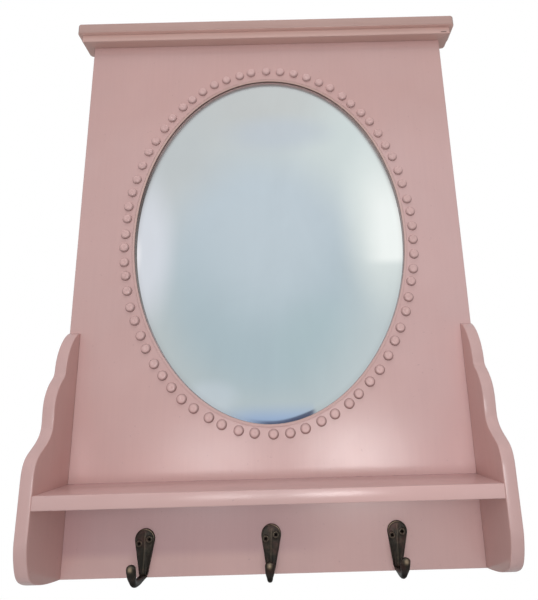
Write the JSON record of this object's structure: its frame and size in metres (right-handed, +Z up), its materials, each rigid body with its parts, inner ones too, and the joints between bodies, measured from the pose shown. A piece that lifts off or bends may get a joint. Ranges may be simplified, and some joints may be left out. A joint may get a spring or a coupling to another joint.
{
  "type": "wall mirror with shelf and hooks",
  "caption": "Painted wooden wall mirror with a beaded oval opening, a cornice, a narrow shelf between scalloped brackets and coat hooks below.",
  "frame": {"origin": "on the wall plane, midway between the entry holes of the two keyhole hanger plates", "axes": "+Z up, +Y into the wall, the mirror faces -Y, +X to the right as seen from in front"},
  "size_m": [0.4728, 0.0811, 0.6364],
  "materials": {
    "painted_board": "hand-brushed satin paint, softly mottled and worn at the edges",
    "painted_beads": "hand-brushed satin paint, softly mottled and worn at the edges",
    "painted_cornice": "hand-brushed satin paint, softly mottled and worn at the edges",
    "painted_strip": "hand-brushed satin paint, softly mottled and worn at the edges",
    "painted_shelf": "hand-brushed satin paint, softly mottled and worn at the edges",
    "painted_brackets": "hand-brushed satin paint, softly mottled and worn at the edges",
    "mirror_glass": "polished, silvered on the back",
    "hardboard": "smooth pressed fibre board",
    "button_steel": "zinc plated",
    "screw_steel": "zinc plated, slightly yellow",
    "plate_steel": "zinc plated",
    "dowel_wood": "plain beech",
    "bronzed_metal": "dark antique bronze, rubbed bright at the tips"
  },
  "bodies": {
    "frame": {"backboard": "painted_board", "oval_beads": "painted_beads", "mirror_glass": "mirror_glass", "mirror_backing": "hardboard", "turn_button_screws": "screw_steel", "cornice_board": "painted_cornice", "cornice_front_strip": "painted_strip", "cornice_left_return": "painted_strip", "cornice_right_return": "painted_strip", "cornice_screws": "screw_steel", "cornice_pins": "screw_steel", "shelf": "painted_shelf", "left_bracket": "painted_brackets", "right_bracket": "painted_brackets", "shelf_dowels": "dowel_wood", "shelf_screws": "screw_steel", "bracket_screws": "screw_steel", "left_hook": "bronzed_metal", "middle_hook": "bronzed_metal", "right_hook": "bronzed_metal", "hook_screws": "bronzed_metal", "left_hanger_plate": "plate_steel", "right_hanger_plate": "plate_steel", "hanger_screws": "screw_steel"},
    "button_top": {"turn_button_top": "button_steel"},
    "button_upper_left": {"turn_button_upper_left": "button_steel"},
    "button_upper_right": {"turn_button_upper_right": "button_steel"},
    "button_lower_left": {"turn_button_lower_left": "button_steel"},
    "button_lower_right": {"turn_button_lower_right": "button_steel"},
    "button_bottom": {"turn_button_bottom": "button_steel"}
  },
  "joints": [
    {"name": "turn_top", "type": "hinge", "parent": "frame", "child": "button_top", "pos_m": [0, -0.0044, 0.002], "axis": [0, 1, 0], "range_deg": [-90, 90]},
    {"name": "turn_upper_left", "type": "hinge", "parent": "frame", "child": "button_upper_left", "pos_m": [-0.14376, -0.0044, -0.09544], "axis": [0, 1, 0], "range_deg": [-90, 90]},
    {"name": "turn_upper_right", "type": "hinge", "parent": "frame", "child": "button_upper_right", "pos_m": [0.14376, -0.0044, -0.09544], "axis": [0, 1, 0], "range_deg": [-90, 90]},
    {"name": "turn_lower_left", "type": "hinge", "parent": "frame", "child": "button_lower_left", "pos_m": [-0.14376, -0.0044, -0.35756], "axis": [0, 1, 0], "range_deg": [-90, 90]},
    {"name": "turn_lower_right", "type": "hinge", "parent": "frame", "child": "button_lower_right", "pos_m": [0.14376, -0.0044, -0.35756], "axis": [0, 1, 0], "range_deg": [-90, 90]},
    {"name": "turn_bottom", "type": "hinge", "parent": "frame", "child": "button_bottom", "pos_m": [0, -0.0044, -0.455], "axis": [0, 1, 0], "range_deg": [-90, 90]}
  ]
}
